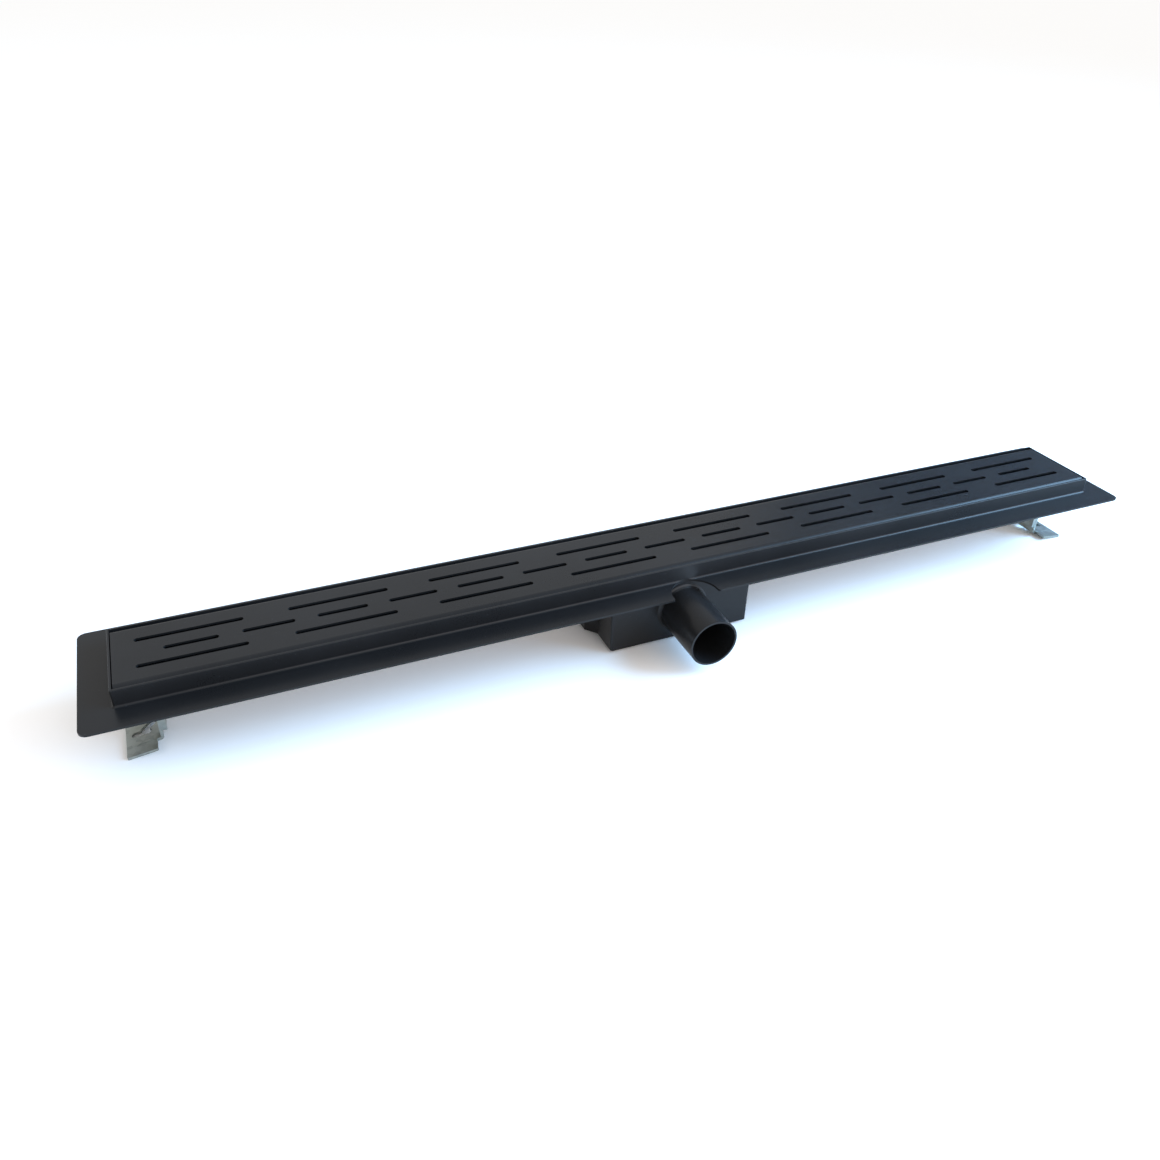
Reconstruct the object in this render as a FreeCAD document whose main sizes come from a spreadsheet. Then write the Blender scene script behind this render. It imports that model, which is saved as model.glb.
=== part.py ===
import FreeCAD, Part
import math
import os
import Sketcher

# Linear channel drain: a slotted cover in a flanged frame, a shallow trough in two halves,
# a trap pan with a side outlet in the middle and a bolted levelling leg near each end.
# The origin is the centre of the frame at finished floor level, X runs along the channel,
# the outlet points to -Y and Z is up. All sizes are in millimetres.

SIZES = [
    ("sheet", 1.5, "thickness of the channel's steel sheet"),
    ("rim_length", 803.0, "outside length of the raised frame"),
    ("rim_width", 70.0, "outside width of the raised frame"),
    ("rim_height", 13.2, "rim top above the flange's upper face"),
    ("rim_edge_radius", 0.5, "rounding of the rim's outer top edge"),
    ("flange_reach", 21.0, "flange outside the frame, all round"),
    ("flange_corner", 6.0, "radius of the flange's corners"),
    ("fold_radius", 1.6, "outside radius of the fold between flange and frame"),
    ("rim_corner", 1.0, "radius of the frame's upright corners"),
    ("notch_width", 36.5, "diameter of the notch over the outlet"),
    ("notch_inset", 2.95, "notch centre inside the flange's front edge"),
    ("notch_corner", 2.0, "rounding of the notch's two front corners"),
    ("floor_end", 22.5, "trough floor below the rim top, at the ends"),
    ("floor_middle", 25.0, "trough floor below the rim top, at the pan"),
    ("floor_flat_end", 50.0, "level stretch of floor at each end"),
    ("floor_flat_middle", 90.0, "level floor on each side of the middle"),
    ("trough_bend", 3.0, "outside radius of the trough's long lower edges"),
    ("pan_front_length", 119.0, "outside length of the pan's front part"),
    ("pan_rear_length", 134.0, "outside length of the pan's rear part"),
    ("flare_start", 25.0, "length of the straight front sides"),
    ("flare_run", 9.0, "stretch over which the sides widen"),
    ("pan_corner", 2.0, "outside radius of the pan's upright corners"),
    ("pipe_diameter", 38.0, "outside diameter of the outlet pipe"),
    ("pipe_wall", 1.5, "wall of the outlet pipe"),
    ("pipe_reach", 50.0, "outlet pipe in front of the pan"),
    ("pipe_below_flange", 4.3, "pipe's top below the flange's underside"),
    ("pan_below_pipe", 7.0, "pan's underside below the pipe's"),
    ("pipe_root_step", 0.4, "depth to which the weld melts the pipe's root"),
    ("pipe_play", 0.05, "radial play of the pipe's root in the pan's hole"),
    ("weld_leg", 2.2, "leg of the weld bead round the pipe"),
    ("weld_throat", 0.8, "weld bead's throat point from the pan and from the pipe"),
    ("weir_top", 34.0, "top of the weir below the rim top"),
    ("weir_setback", 22.0, "weir behind the pan's front face"),
    ("cover_gap_side", 0.4, "gap between cover and frame at the long sides"),
    ("cover_gap_end", 0.7, "gap between cover and frame at the ends"),
    ("cover_bend", 4.5, "outside radius of the cover's long edges"),
    ("cover_depth", 10.0, "height of the cover's skirts"),
    ("slot_pitch", 100.0, "distance from slot group to slot group"),
    ("slot_margin", 10.0, "least plain length between the last slots and the cover's end"),
    ("slot_long", 70.0, "length of the outer rows' slots"),
    ("slot_short", 35.0, "length of the middle row's slots"),
    ("slot_width", 4.0, "width of every slot"),
    ("slot_row", 15.0, "outer rows from the middle row"),
    ("slot_corner", 1.2, "length cut off the slots' corners, both ways"),
    ("rest_length", 25.0, "length of a cover rest"),
    ("rest_width", 6.0, "width of a cover rest"),
    ("rest_inner", 150.0, "inner rests from the middle"),
    ("rest_from_end", 51.5, "outer rests from the frame's outer end"),
    ("pad_thickness", 1.0, "rubber pad on a cover rest"),
    ("deck_overlap", 9.0, "insert's deck over the trough floor at each end"),
    ("deck_play", 0.6, "gap between deck and trough wall"),
    ("gasket", 1.5, "thickness of the gasket strips"),
    ("gasket_width", 7.0, "width of the gasket strips"),
    ("dip_diameter", 35.0, "outside diameter of the dip tube"),
    ("dip_depth", 55.0, "lower end of the dip tube below the rim top"),
    ("dip_behind", 11.0, "dip tube's axis behind the middle line"),
    ("strainer_flange", 42.0, "diameter of the strainer's flange"),
    ("strainer_wall", 1.0, "wall of the strainer"),
    ("strainer_cup", 10.0, "depth of the strainer's cup"),
    ("strainer_play", 0.5, "play of the strainer in the dip tube"),
    ("strainer_slot_width", 2.4, "width of the strainer's slots"),
    ("strainer_slot_step", 4.6, "distance from strainer slot to strainer slot"),
    ("strainer_slot_middle", 25.0, "length of the strainer's middle slot"),
    ("strainer_slot_next", 23.0, "length of the slots beside the middle one"),
    ("strainer_slot_outer", 15.5, "length of the outermost slots"),
    ("tab_from_end", 24.7, "inner face of the leg's tab from the frame's outer end"),
    ("tab_thickness", 3.0, "thickness of the tab"),
    ("tab_lip", 15.0, "lip of the tab under the trough"),
    ("tab_bottom", 56.2, "lower end of the tab below the rim top"),
    ("leg_width", 28.0, "width of the tab and of the leg's upright"),
    ("leg_sheet", 2.0, "thickness of the leg's sheet"),
    ("leg_top", 30.0, "top of the leg's upright below the rim top"),
    ("foot_below_pan", 2.5, "foot's outer edge below the pan's underside"),
    ("foot_rise", 3.0, "rise of the foot from its outer edge to the bend"),
    ("foot_beyond", 2.5, "outer edge of the foot beyond the frame's outer end"),
    ("foot_width", 48.0, "width of the foot"),
    ("foot_corner", 1.0, "corner radius of the foot"),
    ("leg_bend", 2.5, "outside radius of the leg's bend"),
    ("leg_play", 0.05, "play on each side of the clamped upright"),
    ("bolt_depth", 50.0, "bolt axis below the rim top"),
    ("bolt_diameter", 6.0, "diameter of the bolt's shank"),
    ("bolt_hole_play", 0.2, "radial play in the tab's hole"),
    ("leg_slot_play", 0.3, "play between bolt and slot, at the sides and ends"),
    ("leg_down", 12.0, "travel of the leg downwards"),
    ("leg_up", 4.0, "travel of the leg upwards"),
    ("hex_width", 10.0, "width across flats of bolt head and nut"),
    ("head_height", 4.0, "height of the bolt's head"),
    ("nut_height", 5.0, "height of the nut"),
    ("nut_play", 0.05, "radial play of the nut on the bolt"),
    ("bolt_end", 3.0, "bolt beyond the nut"),
    ("washer_diameter", 12.0, "outside diameter of the washers"),
    ("washer_thickness", 1.6, "thickness of the washers"),
    ("foot_slot_length", 13.2, "length of the foot's slot along X"),
    ("foot_slot_width", 4.8, "width of the foot's slot along X"),
    ("foot_slot_from_end", 10.2, "slot's centre from the foot's outer end"),
    ("foot_slot_forward", 2.7, "slot's centre in front of the middle line"),
    ("skew_slot_length", 12.0, "length of the foot's slanted slot"),
    ("skew_slot_width", 5.4, "width of the foot's slanted slot"),
    ("skew_slot_from_end", 15.0, "slanted slot's centre from the foot's outer end"),
    ("skew_slot_behind", 2.6, "slanted slot's centre behind the middle line"),
]


class Size:
    """A length that knows its value and the expression it comes from."""

    def __init__(self, value, text):
        self.value = value
        self.text = text

    @staticmethod
    def of(item):
        return item if isinstance(item, Size) else Size(float(item), repr(float(item)))

    def join(self, other, sign, value):
        return Size(value, "(" + self.text + " " + sign + " " + Size.of(other).text + ")")

    def __add__(self, other):
        return self.join(other, "+", self.value + Size.of(other).value)

    def __sub__(self, other):
        return self.join(other, "-", self.value - Size.of(other).value)

    def __mul__(self, other):
        return self.join(other, "*", self.value * Size.of(other).value)

    def __truediv__(self, other):
        return self.join(other, "/", self.value / Size.of(other).value)

    def __rmul__(self, other):
        return Size.of(other) * self

    def __rsub__(self, other):
        return Size.of(other) - self

    def __neg__(self):
        return Size(-self.value, "(-1 * " + self.text + ")")

    def whole(self):
        return Size(math.floor(self.value), "floor(" + self.text + ")")


document = FreeCAD.newDocument("ChannelDrain")
sheet_object = document.addObject("Spreadsheet::Sheet", "Sizes")
size = {}
for row, (alias, number, meaning) in enumerate(SIZES, start=1):
    sheet_object.set("A" + str(row), meaning)
    sheet_object.set("B" + str(row), str(number))
    sheet_object.setAlias("B" + str(row), alias)
    size[alias] = Size(float(number), "Sizes." + alias)
document.recompute()

NODES = []
ZERO = Size(0.0, "0")


def body_named(name, several=False):
    body = document.addObject("PartDesign::Body", name)
    body.Label = name
    body.AllowCompound = several
    NODES.append(body)
    return body


def origin_part(body, role):
    for feature in body.Origin.OriginFeatures:
        if feature.Role == role:
            return feature
    raise ValueError(role)


def sketch_on(body, role, name, lift=ZERO):
    """A sketch on an origin plane, lifted along the plane's normal."""
    sketch = body.newObject("Sketcher::SketchObject", name)
    sketch.AttachmentSupport = [(origin_part(body, role), "")]
    sketch.MapMode = "FlatFace"
    sketch.AttachmentOffset.Base = FreeCAD.Vector(0, 0, lift.value)
    sketch.setExpression(".AttachmentOffset.Base.z", lift.text)
    return sketch


def fix_point(sketch, geometry, point, place):
    """Ties one point of a sketch to its place, measured from the sketch's origin."""
    for kind, distance in (("DistanceX", place[0]), ("DistanceY", place[1])):
        distance = Size.of(distance)
        index = sketch.addConstraint(
            Sketcher.Constraint(kind, -1, 1, geometry, point, distance.value)
        )
        sketch.setExpression("Constraints[" + str(index) + "]", distance.text)


def add_polygon(sketch, places):
    """A closed outline with straight sides through the given places."""
    corners = [FreeCAD.Vector(Size.of(x).value, Size.of(y).value, 0) for x, y in places]
    first = sketch.GeometryCount
    for index, corner in enumerate(corners):
        following = corners[(index + 1) % len(corners)]
        sketch.addGeometry(Part.LineSegment(corner, following), False)
    for index in range(len(corners)):
        after = (index + 1) % len(corners)
        sketch.addConstraint(
            Sketcher.Constraint("Coincident", first + index, 2, first + after, 1)
        )
        fix_point(sketch, first + index, 1, places[index])


def add_rectangle(sketch, low_x, high_x, low_y, high_y):
    add_polygon(
        sketch,
        [(low_x, low_y), (high_x, low_y), (high_x, high_y), (low_x, high_y)],
    )


def add_circle(sketch, x, y, diameter):
    centre = FreeCAD.Vector(Size.of(x).value, Size.of(y).value, 0)
    index = sketch.addGeometry(
        Part.Circle(centre, FreeCAD.Vector(0, 0, 1), diameter.value / 2), False
    )
    fix_point(sketch, index, 3, (x, y))
    bound = sketch.addConstraint(Sketcher.Constraint("Diameter", index, diameter.value))
    sketch.setExpression("Constraints[" + str(bound) + "]", diameter.text)


def add_round_slot(sketch, x, y, length, width, angle):
    """A slot with full round ends, centred on a place and turned by an angle."""
    reach = (length - width) / 2
    across = (math.cos(math.radians(angle)), math.sin(math.radians(angle)))
    ends = [
        (x + reach * (turn * across[0]), y + reach * (turn * across[1])) for turn in (1, -1)
    ]
    start = angle - 90
    arcs = []
    for place, first_angle in zip(ends, (start, start + 180)):
        circle = Part.Circle(
            FreeCAD.Vector(place[0].value, place[1].value, 0),
            FreeCAD.Vector(0, 0, 1),
            width.value / 2,
        )
        low = math.radians(first_angle)
        arcs.append(sketch.addGeometry(Part.ArcOfCircle(circle, low, low + math.pi), False))
    shape = [sketch.Geometry[index] for index in arcs]
    for this, other in ((0, 1), (1, 0)):
        side = sketch.addGeometry(
            Part.LineSegment(shape[this].EndPoint, shape[other].StartPoint), False
        )
        sketch.addConstraint(Sketcher.Constraint("Tangent", arcs[this], 2, side, 1))
        sketch.addConstraint(Sketcher.Constraint("Tangent", side, 2, arcs[other], 1))
    for index, place in zip(arcs, ends):
        fix_point(sketch, index, 3, place)
    bound = sketch.addConstraint(
        Sketcher.Constraint("Radius", arcs[0], width.value / 2)
    )
    sketch.setExpression("Constraints[" + str(bound) + "]", (width / 2).text)


def volume_of(body):
    document.recompute()
    return 0.0 if body.Shape.isNull() else body.Shape.Volume


def pad(body, sketch, length, reverse=False, both_ways=False):
    """Adds material along the sketch's normal and checks that it did."""
    before = volume_of(body)
    feature = body.newObject("PartDesign::Pad", sketch.Name + "Pad")
    feature.Profile = sketch
    feature.setExpression("Length", length.text)
    feature.Reversed = reverse
    if both_ways:
        feature.SideType = "Symmetric"
    if volume_of(body) <= before:
        raise ValueError("nothing added by " + feature.Name)
    return feature


def pocket(body, sketch, length, reverse=False, both_ways=False):
    """Cuts away from the sketch's normal and checks that it did."""
    before = volume_of(body)
    feature = body.newObject("PartDesign::Pocket", sketch.Name + "Pocket")
    feature.Profile = sketch
    feature.setExpression("Length", length.text)
    feature.Reversed = reverse
    if both_ways:
        feature.SideType = "Symmetric"
    if volume_of(body) >= before:
        raise ValueError("nothing cut by " + feature.Name)
    return feature


def round_edges(body, name, radius, wanted):
    """Fillets the edges whose middle point and direction the test accepts."""
    document.recompute()
    base = body.Tip
    names = []
    for index, edge in enumerate(base.Shape.Edges, start=1):
        middle = edge.valueAt((edge.FirstParameter + edge.LastParameter) / 2)
        along = edge.tangentAt((edge.FirstParameter + edge.LastParameter) / 2)
        if wanted(middle, along):
            names.append("Edge" + str(index))
    if not names:
        raise ValueError("no edge for " + name)
    feature = body.newObject("PartDesign::Fillet", name)
    feature.Base = (base, names)
    feature.setExpression("Radius", radius.text)
    document.recompute()
    return feature


def near(first, second):
    return abs(first - second) < 0.01


rim_x = size["rim_length"] / 2
rim_y = size["rim_width"] / 2
inner_x = rim_x - size["sheet"]
inner_y = rim_y - size["sheet"]
flange_x = rim_x + size["flange_reach"]
flange_y = rim_y + size["flange_reach"]
flange_top = -size["rim_height"]
flange_bottom = flange_top - size["sheet"]
pipe_z = flange_bottom - size["pipe_below_flange"] - size["pipe_diameter"] / 2
pan_low = pipe_z - size["pipe_diameter"] / 2 - size["pan_below_pipe"]


def flange_frame():
    """The mounting flange and the frame folded up from it, open in the middle."""
    body = body_named("channel_flange_frame")
    plate = sketch_on(body, "XY_Plane", "FlangePlate", flange_bottom)
    add_rectangle(plate, -flange_x, flange_x, -flange_y, flange_y)
    pad(body, plate, size["sheet"])
    round_edges(
        body, "FlangeCorners", size["flange_corner"], lambda middle, along: abs(along.z) > 0.9
    )
    rim = sketch_on(body, "XY_Plane", "Rim", flange_top)
    add_rectangle(rim, -rim_x, rim_x, -rim_y, rim_y)
    pad(body, rim, size["rim_height"])
    round_edges(
        body,
        "RimCorners",
        size["rim_corner"],
        lambda middle, along: abs(along.z) > 0.9 and middle.z > flange_top.value,
    )
    round_edges(
        body,
        "Fold",
        size["fold_radius"],
        lambda middle, along: near(middle.z, flange_top.value)
        and abs(middle.x) < rim_x.value + 1
        and abs(middle.y) < rim_y.value + 1,
    )
    opening = sketch_on(body, "XY_Plane", "Opening", flange_bottom)
    add_rectangle(opening, -inner_x, inner_x, -inner_y, inner_y)
    pocket(body, opening, -flange_bottom, reverse=True)
    round_edges(
        body,
        "RimEdge",
        size["rim_edge_radius"],
        lambda middle, along: near(middle.z, 0)
        and (abs(middle.x) > inner_x.value + 0.5 or abs(middle.y) > inner_y.value + 0.5),
    )
    notch = sketch_on(body, "XY_Plane", "OutletNotch", flange_bottom)
    add_circle(notch, 0, size["notch_inset"] - flange_y, size["notch_width"])
    pocket(body, notch, size["sheet"] + size["fold_radius"], reverse=True)
    round_edges(
        body,
        "NotchCorners",
        size["notch_corner"],
        lambda middle, along: abs(along.z) > 0.9
        and near(middle.y, -flange_y.value)
        and abs(middle.x) < size["notch_width"].value,
    )


pan_front = size["pan_front_length"] / 2
pan_rear = size["pan_rear_length"] / 2
flare_low = size["flare_start"] - rim_y
flare_high = flare_low + size["flare_run"]


def pan_outline(inset):
    """Plan of the trap pan: narrow in front, wider behind, drawn in by an inset."""
    turn = math.hypot(pan_rear.value - pan_front.value, size["flare_run"].value)
    shift = inset * ((turn - size["flare_run"].value) / (pan_rear.value - pan_front.value))
    half = [
        (pan_front - inset, inset - rim_y),
        (pan_front - inset, flare_low + shift),
        (pan_rear - inset, flare_high + shift),
        (pan_rear - inset, rim_y - inset),
    ]
    return half + [(-x, y) for x, y in reversed(half)]


def trough(name, side):
    """One half of the trough: a U of sheet whose floor falls to the trap pan."""
    body = body_named(name)
    top = flange_bottom
    flat_end = rim_x - size["floor_flat_end"]
    flat_middle = size["floor_flat_middle"]

    def half_profile(sketch, sink, drawn_in, high):
        near_end = rim_x - drawn_in
        low_end = -(size["floor_end"] + sink)
        low_middle = -(size["floor_middle"] + sink)
        places = [
            (0, high),
            (near_end, high),
            (near_end, low_end),
            (flat_end, low_end),
            (flat_middle, low_middle),
            (0, low_middle),
        ]
        add_polygon(sketch, [(side * Size.of(x), y) for x, y in places])

    outside = sketch_on(body, "XZ_Plane", name + "_outside")
    half_profile(outside, size["sheet"], ZERO, top)
    pad(body, outside, size["rim_width"], both_ways=True)
    round_edges(
        body,
        name + "_bend",
        size["trough_bend"],
        lambda middle, along: near(abs(middle.y), rim_y.value)
        and middle.z < top.value - 5
        and abs(along.x) > 0.9,
    )
    inside = sketch_on(body, "XZ_Plane", name + "_inside")
    half_profile(inside, ZERO, size["sheet"], top)
    pocket(body, inside, 2 * inner_y, both_ways=True)
    bay = sketch_on(body, "XY_Plane", name + "_bay", top)
    add_polygon(bay, pan_outline(ZERO))
    pocket(body, bay, size["floor_middle"] + size["sheet"])


def trap_pan():
    """The welded pan under the middle, open to both halves of the trough."""
    body = body_named("trap_pan")
    collar_low = -(size["floor_middle"] + size["sheet"])
    outside = sketch_on(body, "XY_Plane", "PanOutside", pan_low)
    add_polygon(outside, pan_outline(ZERO))
    pad(body, outside, collar_low - pan_low)
    round_edges(
        body, "PanCorners", size["pan_corner"], lambda middle, along: abs(along.z) > 0.9
    )
    collar = sketch_on(body, "XY_Plane", "PanCollar", collar_low)
    add_polygon(collar, pan_outline(ZERO))
    pad(body, collar, flange_bottom - collar_low)
    inside = sketch_on(body, "XY_Plane", "PanInside", pan_low + size["sheet"])
    add_polygon(inside, pan_outline(size["sheet"]))
    pocket(body, inside, -pan_low, reverse=True)
    windows = sketch_on(body, "XY_Plane", "PanWindows", -size["floor_middle"])
    for turn in (1, -1):
        outer = turn * (pan_rear + 1)
        corner = turn * (pan_front - 2 * size["sheet"])
        add_rectangle(windows, outer, corner, -inner_y, inner_y)
    pocket(body, windows, size["floor_middle"], reverse=True)
    hole = sketch_on(body, "XZ_Plane", "PipeHole", rim_y)
    add_circle(hole, 0, pipe_z, pipe_root + 2 * size["pipe_play"])
    pocket(body, hole, size["sheet"] * 2)


pipe_root = size["pipe_diameter"] - 2 * size["pipe_root_step"]


def trap_weir():
    """The plate across the pan that keeps its water as a seal."""
    body = body_named("trap_weir")
    plate = sketch_on(body, "XY_Plane", "WeirPlate", pan_low + size["sheet"])
    front = size["weir_setback"] - rim_y
    reach = pan_front - size["sheet"]
    add_rectangle(plate, -reach, reach, front, front + size["sheet"])
    pad(body, plate, -pan_low - size["sheet"] - size["weir_top"])


def outlet_pipe():
    """The side outlet. Its root is thinner, where the weld holds it in the pan's front wall."""
    body = body_named("outlet_pipe")
    root = sketch_on(body, "XZ_Plane", "PipeRoot", rim_y - size["sheet"])
    add_circle(root, 0, pipe_z, pipe_root)
    pad(body, root, size["sheet"] + size["weld_leg"])
    free = sketch_on(body, "XZ_Plane", "PipeFree", rim_y + size["weld_leg"])
    add_circle(free, 0, pipe_z, size["pipe_diameter"])
    pad(body, free, size["pipe_reach"] - size["weld_leg"])
    bore = sketch_on(body, "XZ_Plane", "PipeBore", rim_y - size["sheet"])
    add_circle(bore, 0, pipe_z, size["pipe_diameter"] - 2 * size["pipe_wall"])
    pocket(body, bore, size["sheet"] + size["pipe_reach"], reverse=True)


def pipe_weld_bead():
    """The weld round the pipe on the pan's front face, slightly hollow like a real bead."""
    body = body_named("pipe_weld_bead")
    profile = sketch_on(body, "YZ_Plane", "BeadProfile")
    root_side = pipe_z + pipe_root / 2 + size["pipe_play"]
    pipe_side = pipe_z + size["pipe_diameter"] / 2
    places = [
        (-rim_y, root_side),
        (-rim_y - size["weld_leg"], root_side),
        (-rim_y - size["weld_leg"], pipe_side),
        (-rim_y - size["weld_throat"], pipe_side + size["weld_throat"]),
        (-rim_y, pipe_side + size["weld_leg"]),
    ]
    add_polygon(profile, places)
    axis = profile.addGeometry(
        Part.LineSegment(
            FreeCAD.Vector(-rim_y.value, pipe_z.value, 0),
            FreeCAD.Vector(0, pipe_z.value, 0),
        ),
        True,
    )
    fix_point(profile, axis, 1, (-rim_y, pipe_z))
    fix_point(profile, axis, 2, (0, pipe_z))
    feature = body.newObject("PartDesign::Revolution", "BeadTurn")
    feature.Profile = profile
    feature.ReferenceAxis = (profile, ["Axis0"])
    feature.Angle = 360


def slot_row(body, name, row_y, length, start, count, step):
    """One slot of a row, then repeated along X."""
    sketch = sketch_on(body, "XY_Plane", name, -2 * size["sheet"])
    half_long = length / 2
    half_wide = size["slot_width"] / 2
    cut_long = half_long - size["slot_corner"]
    cut_wide = half_wide - size["slot_corner"]
    corner = [(cut_long, half_wide), (half_long, cut_wide)]
    places = corner + [(x, -y) for x, y in reversed(corner)]
    places = places + [(-x, y) for x, y in reversed(places)]
    add_polygon(sketch, [(start + x, row_y + y) for x, y in places])
    cut = pocket(body, sketch, 3 * size["sheet"], reverse=True)
    pattern = body.newObject("PartDesign::LinearPattern", name + "Row")
    pattern.Originals = [cut]
    pattern.Direction = (origin_part(body, "X_Axis"), [""])
    pattern.setExpression("Length", (step * (count - 1)).text)
    pattern.setExpression("Occurrences", count.text)
    before = body.Shape.Volume
    body.Tip = pattern
    if volume_of(body) >= before:
        raise ValueError("no pattern for " + name)


def grate_cover():
    """The lift-out cover: sheet bent down along both long sides, with three rows of slots."""
    body = body_named("grate_cover")
    half_x = inner_x - size["cover_gap_end"]
    half_y = inner_y - size["cover_gap_side"]
    block = sketch_on(body, "YZ_Plane", "CoverBlock")
    add_rectangle(block, -half_y, half_y, -size["cover_depth"], 0)
    pad(body, block, 2 * half_x, both_ways=True)
    round_edges(
        body,
        "CoverBends",
        size["cover_bend"],
        lambda middle, along: near(middle.z, 0) and abs(along.x) > 0.9,
    )
    hollow = sketch_on(body, "YZ_Plane", "CoverHollow")
    add_rectangle(
        hollow,
        size["sheet"] - half_y,
        half_y - size["sheet"],
        -size["cover_depth"],
        -size["sheet"],
    )
    pocket(body, hollow, 2 * half_x, both_ways=True)
    round_edges(
        body,
        "CoverInnerBends",
        size["cover_bend"] - size["sheet"],
        lambda middle, along: near(middle.z, -size["sheet"].value)
        and near(abs(middle.y), half_y.value - size["sheet"].value)
        and abs(along.x) > 0.9,
    )
    pitch = size["slot_pitch"]
    room = 2 * (half_x - size["slot_margin"]) + pitch - size["slot_long"]
    groups = (room / pitch).whole()
    first_group = pitch * (1 - groups) / 2
    slot_row(body, "BackSlots", size["slot_row"], size["slot_long"], first_group, groups, pitch)
    slot_row(body, "FrontSlots", -size["slot_row"], size["slot_long"], first_group, groups, pitch)
    middle_count = 2 * groups - 1
    slot_row(
        body, "MiddleSlots", ZERO, size["slot_short"], first_group, middle_count, pitch / 2
    )


def each_rest():
    """Low and high X, low and high Y of every cover rest."""
    for place in (size["rest_inner"], rim_x - size["rest_from_end"]):
        for turn in (1, -1):
            low = turn * place - size["rest_length"] / 2
            high = turn * place + size["rest_length"] / 2
            yield low, high, inner_y - size["rest_width"], inner_y
            yield low, high, -inner_y, size["rest_width"] - inner_y


def grate_rests():
    """Angles welded to the trough's walls, which carry the cover."""
    body = body_named("grate_rests", several=True)
    rest_top = size["cover_depth"] + size["pad_thickness"]
    shelf = sketch_on(body, "XY_Plane", "RestShelves", -(rest_top + size["sheet"]))
    for low_x, high_x, low_y, high_y in each_rest():
        add_rectangle(shelf, low_x, high_x, low_y, high_y)
    pad(body, shelf, size["sheet"])


def rest_pads():
    """Rubber pads between the rests and the cover's skirts."""
    body = body_named("rest_pads", several=True)
    rubber = sketch_on(
        body, "XY_Plane", "RestRubber", -(size["cover_depth"] + size["pad_thickness"])
    )
    for low_x, high_x, low_y, high_y in each_rest():
        add_rectangle(rubber, low_x, high_x, low_y, high_y)
    pad(body, rubber, size["pad_thickness"])


deck_x = pan_rear + size["deck_overlap"]
deck_y = inner_y - size["deck_play"]
deck_bottom = size["gasket"] - size["floor_middle"]
deck_top = deck_bottom + size["sheet"]


def trap_insert():
    """The lift-out deck over the pan, with the dip tube that reaches into the seal."""
    body = body_named("trap_insert")
    plate = sketch_on(body, "XY_Plane", "DeckPlate", deck_bottom)
    add_rectangle(plate, -deck_x, deck_x, -deck_y, deck_y)
    pad(body, plate, size["sheet"])
    tube = sketch_on(body, "XY_Plane", "DipTube", -size["dip_depth"])
    add_circle(tube, 0, size["dip_behind"], size["dip_diameter"])
    pad(body, tube, size["dip_depth"] + deck_bottom)
    bore = sketch_on(body, "XY_Plane", "DipBore", -size["dip_depth"])
    add_circle(bore, 0, size["dip_behind"], size["dip_diameter"] - 2 * size["sheet"])
    pocket(body, bore, size["dip_depth"], reverse=True)


def insert_gaskets():
    """Rubber strips under both ends of the deck."""
    body = body_named("insert_gaskets", several=True)
    strips = sketch_on(body, "XY_Plane", "GasketStrips", -size["floor_middle"])
    for turn in (1, -1):
        inner = turn * (deck_x - size["gasket_width"])
        add_rectangle(strips, inner, turn * deck_x, -deck_y, deck_y)
    pad(body, strips, size["gasket"])


def hair_strainer():
    """The perforated cup that hangs in the dip tube."""
    body = body_named("hair_strainer")
    cup_diameter = size["dip_diameter"] - 2 * size["sheet"] - 2 * size["strainer_play"]
    wall = size["strainer_wall"]
    rim = sketch_on(body, "XY_Plane", "StrainerRim", deck_top)
    add_circle(rim, 0, size["dip_behind"], size["strainer_flange"])
    pad(body, rim, wall)
    cup = sketch_on(body, "XY_Plane", "StrainerCup", deck_top - size["strainer_cup"])
    add_circle(cup, 0, size["dip_behind"], cup_diameter)
    pad(body, cup, size["strainer_cup"])
    hollow = sketch_on(body, "XY_Plane", "StrainerHollow", deck_top - size["strainer_cup"] + wall)
    add_circle(hollow, 0, size["dip_behind"], cup_diameter - 2 * wall)
    pocket(body, hollow, size["strainer_cup"] + wall, reverse=True)
    slots = sketch_on(body, "XY_Plane", "StrainerSlots", deck_top - size["strainer_cup"])
    lengths = {0: "middle", 1: "next", 2: "outer"}
    for step in range(-2, 3):
        middle_y = size["dip_behind"] + step * size["strainer_slot_step"]
        reach = size["strainer_slot_" + lengths[abs(step)]] / 2
        half = size["strainer_slot_width"] / 2
        add_rectangle(slots, -reach, reach, middle_y - half, middle_y + half)
    pocket(body, slots, wall, reverse=True)


tab_inner = rim_x - size["tab_from_end"]
tab_outer = tab_inner + size["tab_thickness"]
upright_inner = tab_outer + size["leg_play"]
upright_outer = upright_inner + size["leg_sheet"]
washer_face = upright_outer + size["leg_play"]
foot_end = rim_x + size["foot_beyond"]
foot_low = pan_low - size["foot_below_pan"]
foot_high = foot_low + size["foot_rise"]
bolt_z = -size["bolt_depth"]


def leg_tab(name, side):
    """The bent tab under the trough that carries a leg."""
    body = body_named(name)
    top = -(size["floor_end"] + size["sheet"])
    lip = tab_inner - size["tab_lip"]
    profile = sketch_on(body, "XZ_Plane", name + "_profile")
    places = [
        (lip, top),
        (tab_outer, top),
        (tab_outer, -size["tab_bottom"]),
        (tab_inner, -size["tab_bottom"]),
        (tab_inner, top - size["tab_thickness"]),
        (lip, top - size["tab_thickness"]),
    ]
    add_polygon(profile, [(side * x, z) for x, z in places])
    pad(body, profile, size["leg_width"], both_ways=True)
    hole = sketch_on(body, "YZ_Plane", name + "_hole", side * (tab_inner - 1))
    add_circle(hole, 0, bolt_z, size["bolt_diameter"] + 2 * size["bolt_hole_play"])
    pocket(body, hole, size["tab_thickness"] + 2, reverse=side > 0)


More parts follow.
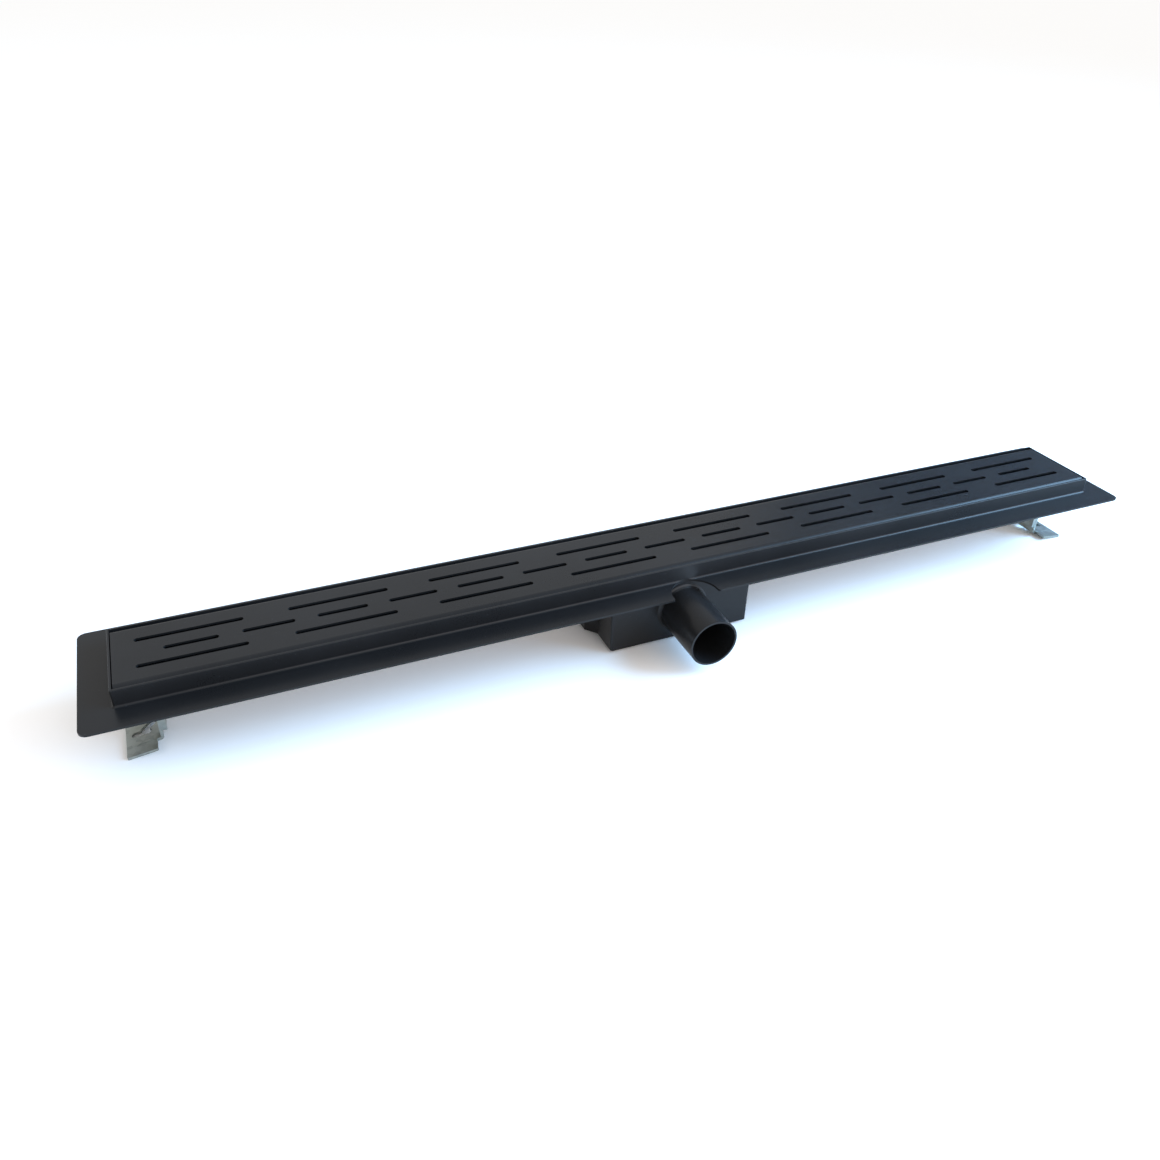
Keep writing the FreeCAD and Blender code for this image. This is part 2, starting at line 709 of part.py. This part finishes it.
def leg_foot(name, side):
    """The levelling leg: a slotted upright bent out into a wider foot that slopes to its edge."""
    body = body_named(name)
    thick = size["leg_sheet"]
    upright = sketch_on(body, "XZ_Plane", name + "_upright")
    places = [
        (upright_inner, foot_high),
        (foot_end, foot_low),
        (foot_end, foot_low + thick),
        (upright_outer, foot_high + thick),
        (upright_outer, -size["leg_top"]),
        (upright_inner, -size["leg_top"]),
    ]
    add_polygon(upright, [(side * x, z) for x, z in places])
    pad(body, upright, size["leg_width"], both_ways=True)
    round_edges(
        body,
        name + "_bend",
        size["leg_bend"],
        lambda middle, along: near(middle.z, foot_high.value)
        and near(abs(middle.x), upright_inner.value),
    )
    share = (size["leg_bend"] + thick) / (foot_end - upright_inner)
    inner = upright_inner + size["leg_bend"] + thick
    inner_low = foot_high - size["foot_rise"] * share
    wide = sketch_on(body, "XZ_Plane", name + "_wide")
    places = [
        (inner, inner_low),
        (foot_end, foot_low),
        (foot_end, foot_low + thick),
        (inner, inner_low + thick),
    ]
    add_polygon(wide, [(side * x, z) for x, z in places])
    pad(body, wide, size["foot_width"], both_ways=True)
    half = size["foot_width"] / 2
    round_edges(
        body,
        name + "_corners",
        size["foot_corner"],
        lambda middle, along: abs(along.z) > 0.9 and near(abs(middle.y), half.value),
    )
    slot = sketch_on(body, "YZ_Plane", name + "_slot", side * (upright_inner - 1))
    width = size["bolt_diameter"] + 2 * size["leg_slot_play"]
    length = width + size["leg_down"] + size["leg_up"] + 2 * size["leg_slot_play"]
    middle_z = bolt_z + (size["leg_down"] - size["leg_up"]) / 2
    add_round_slot(slot, ZERO, middle_z, length, width, 90)
    pocket(body, slot, thick + 2, reverse=side > 0)
    plain = sketch_on(body, "XY_Plane", name + "_plain_slot", foot_low - 1)
    add_round_slot(
        plain,
        side * (foot_end - size["foot_slot_from_end"]),
        -size["foot_slot_forward"],
        size["foot_slot_length"],
        size["foot_slot_width"],
        0,
    )
    pocket(body, plain, size["foot_rise"] + thick + 2, reverse=True)
    slanted = sketch_on(body, "XY_Plane", name + "_slanted_slot", foot_low - 1)
    add_round_slot(
        slanted,
        side * (foot_end - size["skew_slot_from_end"]),
        size["skew_slot_behind"],
        size["skew_slot_length"],
        size["skew_slot_width"],
        45 if side < 0 else 135,
    )
    pocket(body, slanted, size["foot_rise"] + thick + 2, reverse=True)


def add_hexagon(sketch, z, width):
    """A hexagon with two flats upright, centred over the middle line."""
    corner = width * (0.5 / math.cos(math.radians(30)))
    places = []
    for index in range(6):
        angle = math.radians(60 * index + 30)
        places.append((corner * math.cos(angle), z + corner * math.sin(angle)))
    add_polygon(sketch, places)


def leg_bolt(name, side):
    body = body_named(name)
    head_face = tab_inner - size["washer_thickness"]
    head = sketch_on(body, "YZ_Plane", name + "_head", side * (head_face - size["head_height"]))
    add_hexagon(head, bolt_z, size["hex_width"])
    pad(body, head, size["head_height"], reverse=side < 0)
    shank = sketch_on(body, "YZ_Plane", name + "_shank", side * head_face)
    add_circle(shank, 0, bolt_z, size["bolt_diameter"])
    end = washer_face + size["washer_thickness"] + size["nut_height"] + size["bolt_end"]
    pad(body, shank, end - head_face, reverse=side < 0)


def leg_washers(name, side):
    """The washers under the bolt's head and under the nut."""
    body = body_named(name, several=True)
    hole = size["bolt_diameter"] + 2 * size["bolt_hole_play"]
    for part, face in (("head", tab_inner - size["washer_thickness"]), ("nut", washer_face)):
        ring = sketch_on(body, "YZ_Plane", name + "_" + part, side * face)
        add_circle(ring, 0, bolt_z, size["washer_diameter"])
        add_circle(ring, 0, bolt_z, hole)
        pad(body, ring, size["washer_thickness"], reverse=side < 0)


def leg_nut(name, side):
    body = body_named(name)
    face = side * (washer_face + size["washer_thickness"])
    profile = sketch_on(body, "YZ_Plane", name + "_hexagon", face)
    add_hexagon(profile, bolt_z, size["hex_width"])
    add_circle(profile, 0, bolt_z, size["bolt_diameter"] + 2 * size["nut_play"])
    pad(body, profile, size["nut_height"], reverse=side < 0)


flange_frame()
trough("trough_left", -1)
trough("trough_right", 1)
trap_pan()
trap_weir()
outlet_pipe()
pipe_weld_bead()
grate_cover()
grate_rests()
rest_pads()
trap_insert()
insert_gaskets()
hair_strainer()
for ending, turn in (("left", -1), ("right", 1)):
    leg_tab("leg_tab_" + ending, turn)
    leg_foot("leg_foot_" + ending, turn)
    leg_bolt("leg_bolt_" + ending, turn)
    leg_washers("leg_washers_" + ending, turn)
    leg_nut("leg_nut_" + ending, turn)
document.recompute()

for item in document.Objects:
    if "Invalid" in item.State or "Error" in item.State:
        raise ValueError("failed object: " + item.Name + " " + str(item.State))
for body in NODES:
    if body.Shape.isNull() or not body.Shape.isValid() or not body.Shape.Solids:
        raise ValueError("bad shape: " + body.Label)

os.makedirs("parts", exist_ok=True)
for body in NODES:
    body.Shape.exportStep(os.path.join("parts", body.Label + ".step"))
    box = body.Shape.BoundBox
    print(
        "%-22s solids %d volume %9.0f  X %7.1f %7.1f  Y %6.1f %6.1f  Z %6.1f %6.1f"
        % (
            body.Label,
            len(body.Shape.Solids),
            body.Shape.Volume,
            box.XMin,
            box.XMax,
            box.YMin,
            box.YMax,
            box.ZMin,
            box.ZMax,
        )
    )
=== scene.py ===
"""Looks, light and camera for the linear shower channel drain, in metres."""

import math

import bmesh
import bpy
from mathutils import Euler, Matrix, Vector


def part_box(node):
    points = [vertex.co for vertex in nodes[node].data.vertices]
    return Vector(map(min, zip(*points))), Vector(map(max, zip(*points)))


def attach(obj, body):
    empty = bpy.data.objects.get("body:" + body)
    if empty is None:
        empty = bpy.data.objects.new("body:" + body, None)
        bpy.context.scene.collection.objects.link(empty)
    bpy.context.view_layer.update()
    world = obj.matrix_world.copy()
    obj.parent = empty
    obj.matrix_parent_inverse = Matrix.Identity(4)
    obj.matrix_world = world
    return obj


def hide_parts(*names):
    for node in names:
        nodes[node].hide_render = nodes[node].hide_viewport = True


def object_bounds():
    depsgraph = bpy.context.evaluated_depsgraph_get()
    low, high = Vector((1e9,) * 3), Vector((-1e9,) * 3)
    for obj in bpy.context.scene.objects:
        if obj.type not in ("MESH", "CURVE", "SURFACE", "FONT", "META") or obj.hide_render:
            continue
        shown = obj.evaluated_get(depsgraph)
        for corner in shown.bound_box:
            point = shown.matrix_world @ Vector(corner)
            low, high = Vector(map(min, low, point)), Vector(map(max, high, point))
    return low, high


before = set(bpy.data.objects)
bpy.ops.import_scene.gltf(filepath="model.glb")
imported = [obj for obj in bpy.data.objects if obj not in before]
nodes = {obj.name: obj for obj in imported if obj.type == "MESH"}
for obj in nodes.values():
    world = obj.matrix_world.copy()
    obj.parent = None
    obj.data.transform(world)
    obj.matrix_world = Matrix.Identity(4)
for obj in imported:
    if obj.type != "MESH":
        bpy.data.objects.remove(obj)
cad_box = [list(corner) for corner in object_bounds()]
scene = bpy.context.scene

FLOOR_LEVEL = cad_box[0][2]

FLOOR_SIZE = 60.0

# sockets of a Mix node set to colour
FIRST_COLOUR = 6
SECOND_COLOUR = 7
MIXED_COLOUR = 2

# bolts and nuts
ROUND_STEPS = 48
HEX_FLATS = 0.010
HEX_CORNER = HEX_FLATS / math.sqrt(3)
CHAMFER = 0.0006
CHAMFERED_CORNER = HEX_CORNER - CHAMFER * 1.6
HEX_TURN = math.radians(60)
HEAD_HEIGHT = 0.004
SHANK_RADIUS = 0.003
THREAD_PITCH = 0.001
THREAD_DEPTH = 0.00055
THREAD_START = HEAD_HEIGHT + 0.001
THREAD_MARGIN = 0.0002
SHANK_SINK = 0.0004
WELD_DISTANCE = 1e-6
NUT_BORE = 0.00305


class Socket:
    """A shader value that takes part in Python expressions."""

    def __init__(self, graph, socket):
        self.graph = graph
        self.socket = socket

    def maths(self, operation, *others):
        return self.graph.node("ShaderNodeMath", {"operation": operation}, [self, *others])

    def __add__(self, other):
        return self.maths("ADD", other)

    def __radd__(self, other):
        return self.maths("ADD", other)

    def __mul__(self, other):
        return self.maths("MULTIPLY", other)

    def __rmul__(self, other):
        return self.maths("MULTIPLY", other)

    def __gt__(self, other):
        return self.maths("GREATER_THAN", other)

    def clamped(self, low, high):
        """Goes from 0 at low to 1 at high, smoothly."""
        return self.graph.node(
            "ShaderNodeMapRange",
            {"interpolation_type": "SMOOTHSTEP"},
            {"Value": self, "From Min": low, "From Max": high},
        )


class Graph:
    """A material's node tree."""

    def __init__(self, name):
        self.material = bpy.data.materials.new(name)
        self.material.use_nodes = True
        self.tree = self.material.node_tree
        self.shader = self.tree.nodes["Principled BSDF"]

    def node(self, kind, settings=None, inputs=(), output=0):
        """Adds a node: its settings first, then values or links for its sockets."""
        made = self.tree.nodes.new(kind)
        for name, value in (settings or {}).items():
            setattr(made, name, value)
        pairs = inputs.items() if isinstance(inputs, dict) else enumerate(inputs)
        for key, value in pairs:
            self.feed(made.inputs[key], value)
        return Socket(self, made.outputs[output])

    def feed(self, target, value):
        if isinstance(value, Socket):
            self.tree.links.new(value.socket, target)
        else:
            target.default_value = value

    def place(self):
        """Object coordinates, in metres."""
        return self.node("ShaderNodeTexCoord", output="Object")

    def stretched(self, place, scale):
        return self.node("ShaderNodeMapping", inputs={"Vector": place, "Scale": scale})

    def noise(self, place, per_metre, detail=3.0, roughness=0.55):
        return self.node(
            "ShaderNodeTexNoise",
            inputs={
                "Vector": place,
                "Scale": per_metre,
                "Detail": detail,
                "Roughness": roughness,
            },
        )

    def cells(self, place, per_metre, output="Distance"):
        return self.node(
            "ShaderNodeTexVoronoi", inputs={"Vector": place, "Scale": per_metre}, output=output
        )

    def mixed(self, factor, first, second):
        """A colour between two colours."""
        sockets = {0: factor, FIRST_COLOUR: first, SECOND_COLOUR: second}
        return self.node("ShaderNodeMix", {"data_type": "RGBA"}, sockets, MIXED_COLOUR)

    def bumped(self, height, distance, strength=1.0, under=None):
        inputs = {"Height": height, "Distance": distance, "Strength": strength}
        if under is not None:
            inputs["Normal"] = under
        return self.node("ShaderNodeBump", inputs=inputs)

    def finish(self, **inputs):
        for name, value in inputs.items():
            self.feed(self.shader.inputs[name.replace("_", " ")], value)
        return self.material


def black_coating():
    """Black baked coating on sheet: satin, faintly uneven, with dust that dulls it in patches."""
    graph = Graph("black_coating")
    place = graph.place()
    clouds = graph.noise(place, 9.0, detail=4.0)
    grain = graph.noise(place, 1500.0, detail=2.0)
    ripple = graph.noise(graph.stretched(place, (0.15, 1.0, 1.0)), 380.0, detail=3.0)
    specks = graph.cells(place, 260.0).clamped(0.16, 0.05) * (graph.noise(place, 60.0) > 0.58)
    shade = clouds.clamped(0.35, 0.7)
    base = graph.mixed(shade, (0.0078, 0.0080, 0.0086, 1), (0.0112, 0.0114, 0.0122, 1))
    colour = graph.mixed(specks * 0.35, base, (0.045, 0.047, 0.05, 1))
    rough = 0.25 + shade * 0.05 + grain * 0.05 + specks * 0.1
    low = graph.bumped(ripple, 0.00004, 0.35)
    fine = graph.bumped(grain, 0.00002, 0.25, low)
    graph.shader.inputs["Specular IOR Level"].default_value = 0.2
    return graph.finish(Base_Color=colour, Roughness=rough, Normal=fine)


def zinc_coating():
    """Passivated zinc on the legs: grey-green, with crystals and rubbed streaks."""
    graph = Graph("zinc_coating")
    place = graph.place()
    crystals = graph.cells(place, 240.0, output="Color")
    level = graph.node("ShaderNodeSeparateColor", inputs=[crystals])
    streaks = graph.noise(graph.stretched(place, (1.0, 6.0, 6.0)), 160.0, detail=4.0)
    stain = graph.noise(place, 45.0, detail=3.0).clamped(0.42, 0.68)
    base = graph.mixed(level * 0.6 + streaks * 0.4, (0.20, 0.22, 0.21, 1), (0.34, 0.37, 0.35, 1))
    colour = graph.mixed(stain * 0.45, base, (0.22, 0.22, 0.16, 1))
    rough = 0.28 + level * 0.12 + stain * 0.15
    normal = graph.bumped(streaks, 0.00003, 0.4)
    graph.shader.inputs["Metallic"].default_value = 0.85
    return graph.finish(Base_Color=colour, Roughness=rough, Normal=normal)


def bright_zinc():
    """Plated fasteners, brighter than the legs."""
    graph = Graph("bright_zinc")
    place = graph.place()
    patches = graph.noise(place, 220.0, detail=3.0)
    scratches = graph.noise(graph.stretched(place, (8.0, 1.0, 8.0)), 300.0, detail=2.0)
    colour = graph.mixed(patches, (0.46, 0.47, 0.45, 1), (0.66, 0.67, 0.66, 1))
    rough = 0.2 + patches * 0.15 + scratches * 0.1
    graph.shader.inputs["Metallic"].default_value = 0.95
    return graph.finish(
        Base_Color=colour, Roughness=rough, Normal=graph.bumped(scratches, 0.00002, 0.3)
    )


def black_rubber():
    """Moulded rubber pads and strips."""
    graph = Graph("black_rubber")
    place = graph.place()
    grain = graph.noise(place, 900.0, detail=3.0)
    bloom = graph.noise(place, 70.0).clamped(0.45, 0.7)
    colour = graph.mixed(bloom, (0.012, 0.012, 0.012, 1), (0.035, 0.035, 0.034, 1))
    rough = 0.62 + grain * 0.2
    return graph.finish(
        Base_Color=colour, Roughness=rough, Normal=graph.bumped(grain, 0.00005, 0.5)
    )


def dress(node, material):
    for slot in nodes[node].material_slots:
        slot.material = material


coating = black_coating()
zinc = zinc_coating()
plating = bright_zinc()
rubber = black_rubber()
for name in nodes:
    if name.startswith(("leg_bolt", "leg_nut", "leg_washers")):
        dress(name, plating)
    elif name.startswith("leg_"):
        dress(name, zinc)
    elif name in ("rest_pads", "insert_gaskets"):
        dress(name, rubber)
    else:
        dress(name, coating)


def turned(profile, ring=False, flats=None):
    """Turns (along, radius) points round the X axis, and cuts the skin to a hexagon if told."""
    form = bmesh.new()
    points = [form.verts.new((along, radius, 0)) for along, radius in profile]
    ends = points[1:] + points[:1] if ring else points[1:]
    lines = [form.edges.new(pair) for pair in zip(points, ends)]
    bmesh.ops.spin(
        form,
        geom=points + lines,
        cent=(0, 0, 0),
        axis=(1, 0, 0),
        angle=math.tau,
        steps=ROUND_STEPS,
        use_merge=True,
    )
    bmesh.ops.remove_doubles(form, verts=form.verts, dist=WELD_DISTANCE)
    for point in form.verts if flats else ():
        radius = math.hypot(point.co.y, point.co.z)
        around = math.atan2(point.co.z, point.co.y) % HEX_TURN
        reach = flats / 2 / math.cos(around - HEX_TURN / 2)
        if radius > reach:
            point.co.y *= reach / radius
            point.co.z *= reach / radius
    skin = bpy.data.meshes.new("turned")
    form.to_mesh(skin)
    form.free()
    return skin


def fastener(node, skins):
    """Joins skins into the piece that stands for a bolt or nut, its corners up and down."""
    low, high = (Vector(corner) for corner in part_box(node))
    side = 1 if low.x > 0 else -1
    form = bmesh.new()
    for skin in skins:
        form.from_mesh(skin)
    quarter = Matrix.Rotation(math.radians(90), 3, "X")
    bmesh.ops.rotate(form, verts=form.verts, cent=(0, 0, 0), matrix=quarter)
    bmesh.ops.scale(form, verts=form.verts, vec=(side, 1, 1))
    middle = (low + high) / 2
    inner = low.x if side > 0 else high.x
    bmesh.ops.translate(form, verts=form.verts, vec=(inner, middle.y, middle.z))
    bmesh.ops.recalc_face_normals(form, faces=form.faces)
    skin = bpy.data.meshes.new(node + "_detail")
    form.to_mesh(skin)
    form.free()
    skin.materials.append(plating)
    piece = bpy.data.objects.new(node + "_detail", skin)
    scene.collection.objects.link(piece)
    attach(piece, "channel")
    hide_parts(node)


def bolt_skins(length):
    """A chamfered head, and a shank with its thread as rings."""
    head = [
        (0, 0),
        (0, CHAMFERED_CORNER),
        (CHAMFER, HEX_CORNER),
        (HEAD_HEIGHT, HEX_CORNER),
        (HEAD_HEIGHT, 0),
    ]
    root = SHANK_RADIUS - THREAD_DEPTH
    start = HEAD_HEIGHT - SHANK_SINK
    shank = [(start, 0), (start, SHANK_RADIUS)]
    along = THREAD_START
    while along + THREAD_PITCH < length - THREAD_MARGIN:
        shank += [(along, SHANK_RADIUS), (along + THREAD_PITCH / 2, root)]
        along += THREAD_PITCH
    shank += [(length, root), (length, 0)]
    return [turned(head, flats=HEX_FLATS), turned(shank)]


def nut_skins(height):
    """A nut chamfered at both faces, with a plain bore."""
    section = [
        (0, NUT_BORE),
        (0, CHAMFERED_CORNER),
        (CHAMFER, HEX_CORNER),
        (height - CHAMFER, HEX_CORNER),
        (height, CHAMFERED_CORNER),
        (height, NUT_BORE),
    ]
    return [turned(section, ring=True, flats=HEX_FLATS)]


for end in ("left", "right"):
    for kind, skins in (("leg_bolt_", bolt_skins), ("leg_nut_", nut_skins)):
        low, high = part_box(kind + end)
        fastener(kind + end, skins(high[0] - low[0]))


def plain_finish(name, dark, light):
    """A matt surface of nearly one tone, for the studio."""
    graph = Graph(name)
    tint = graph.noise(graph.place(), 3.0)
    graph.shader.inputs["Roughness"].default_value = 1.0
    graph.shader.inputs["Specular IOR Level"].default_value = 0.0
    return graph.finish(Base_Color=graph.mixed(tint, dark, light))


def floor():
    """A pale floor as white as the surroundings, so that no line shows where they meet."""
    bpy.ops.mesh.primitive_plane_add(size=FLOOR_SIZE, location=(0, 0, FLOOR_LEVEL))
    plane = bpy.context.object
    plane.name = "studio_floor"
    plane.data.materials.append(
        plain_finish("studio_floor", (0.972, 0.962, 0.950, 1), (0.978, 0.969, 0.958, 1))
    )


def card():
    """A blue-grey card beyond the right end, which keeps the cover's gloss there dark."""
    bpy.ops.mesh.primitive_plane_add(size=1.0, location=(1.5, 0.87, 0.62))
    plane = bpy.context.object
    plane.name = "studio_card"
    plane.scale = (1.3, 1.0, 1.0)
    facing = Vector((0.4, 0, 0)) - plane.location
    plane.rotation_euler = facing.to_track_quat("Z", "Y").to_euler()
    plane.data.materials.append(
        plain_finish("studio_card", (0.17, 0.20, 0.24, 1), (0.19, 0.22, 0.26, 1))
    )
    plane.visible_camera = False
    plane.visible_shadow = False


def surroundings():
    """Even white light from all round."""
    world = bpy.data.worlds.new("studio")
    scene.world = world
    world.use_nodes = True
    background = world.node_tree.nodes["Background"]
    background.inputs["Color"].default_value = (1, 1, 1, 1)
    background.inputs["Strength"].default_value = 1.0


def lamp_at(name, place, aim, width, depth, power, colour):
    """A rectangular softbox that faces a point."""
    lamp = bpy.data.lights.new(name, "AREA")
    lamp.shape = "RECTANGLE"
    lamp.size = width
    lamp.size_y = depth
    lamp.energy = power
    lamp.color = colour
    holder = bpy.data.objects.new(name, lamp)
    scene.collection.objects.link(holder)
    holder.location = place
    holder.visible_camera = False
    facing = Vector(aim) - Vector(place)
    holder.rotation_euler = facing.to_track_quat("-Z", "Y").to_euler()
    return holder


def camera_view():
    """The camera stands in front of the left end, above it, and looks along the channel."""
    lens = bpy.data.cameras.new("view")
    lens.lens = 30.94
    lens.sensor_width = 36.0
    lens.clip_start = 0.01
    holder = bpy.data.objects.new("view", lens)
    scene.collection.objects.link(holder)
    holder.location = (-0.3265, -0.5846, 0.3973)
    turn = [math.radians(angle) for angle in (56.983, -1.082, -22.882)]
    holder.rotation_euler = Euler(turn, "XYZ")
    scene.camera = holder


floor()
card()
surroundings()
lamp_at("window", (1.8, -0.65, 1.0), (0.4, 0, 0), 1.7, 1.4, 138.0, (0.34, 0.64, 1.0))
lamp_at("front", (0.9, -1.9, 0.7), (0.1, 0, 0), 2.8, 2.0, 33.0, (1.0, 0.91, 0.89))
camera_view()
scene.view_settings.view_transform = "Standard"
